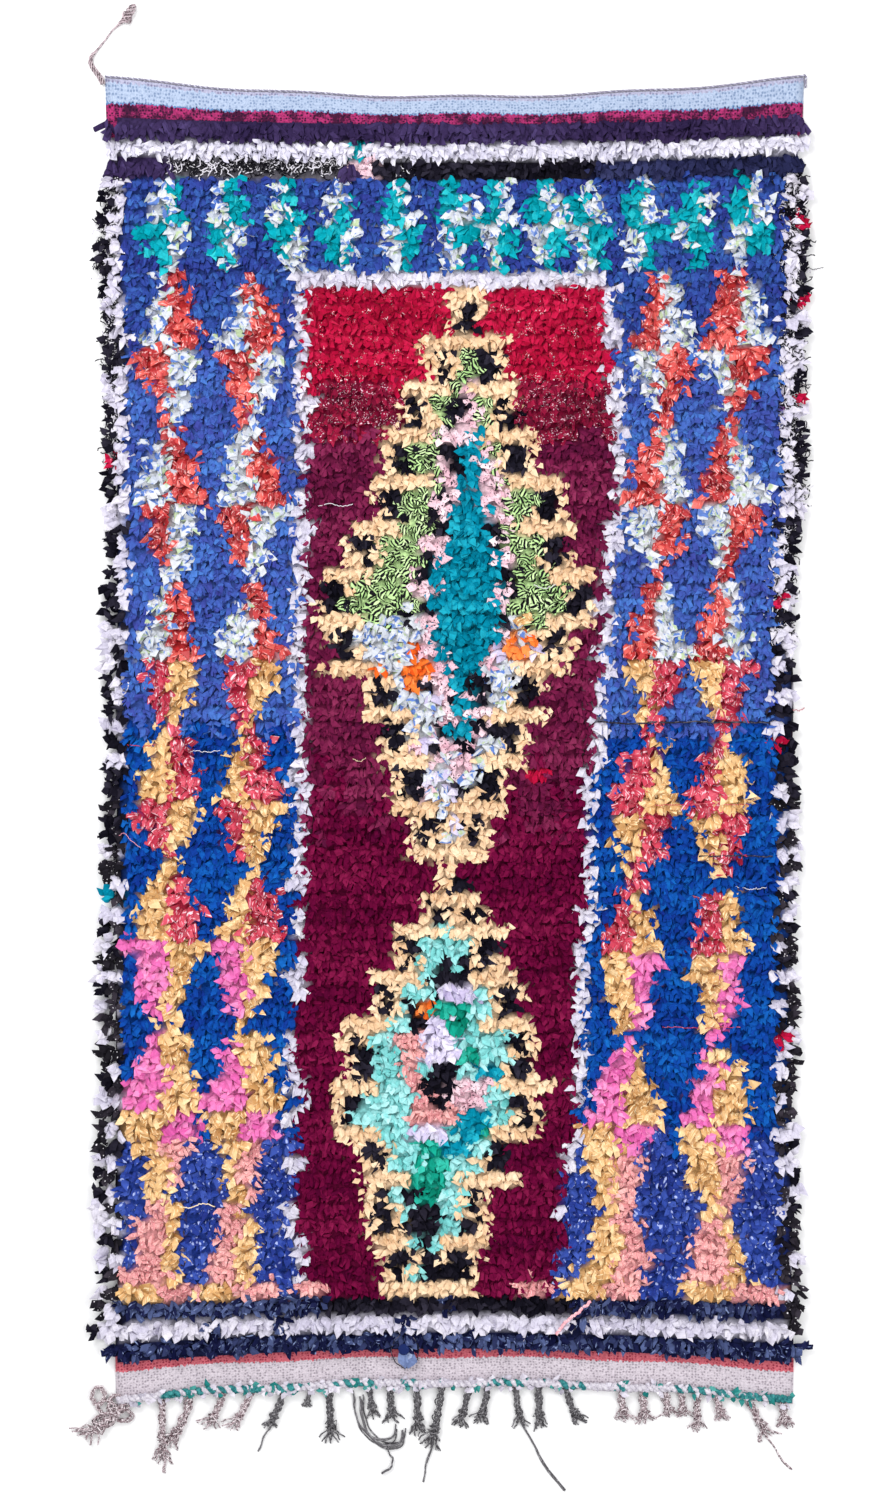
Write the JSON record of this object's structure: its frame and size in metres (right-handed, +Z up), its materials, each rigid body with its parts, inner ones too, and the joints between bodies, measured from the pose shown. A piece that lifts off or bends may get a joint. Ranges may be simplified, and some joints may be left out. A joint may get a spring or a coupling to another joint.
{
  "type": "rug",
  "caption": "Boucherouite rag rug laid flat: knotted rag pile on a woven ground, plain woven ends and a knotted warp fringe.",
  "frame": {"origin": "centre of the ground weave's underside, on the floor", "axes": "+X across the rug, +Y along its warps towards the plain blue end, +Z up from the floor"},
  "size_m": [1.4136, 2.8693, 0.0328],
  "materials": {
    "ground_weave": "matte woven wool",
    "rag_pile": "matte and satin torn rags",
    "top_edge_cord": "matte yarn",
    "twined_edge": "matte rag rope",
    "warp_fringe": "matte yarn",
    "corner_tassel": "matte yarn"
  },
  "bodies": {
    "root": {"ground_weave": "ground_weave", "rag_pile": "rag_pile", "top_edge_cord": "top_edge_cord", "twined_edge": "twined_edge", "warp_fringe": "warp_fringe", "corner_tassel": "corner_tassel"}
  },
  "joints": []
}
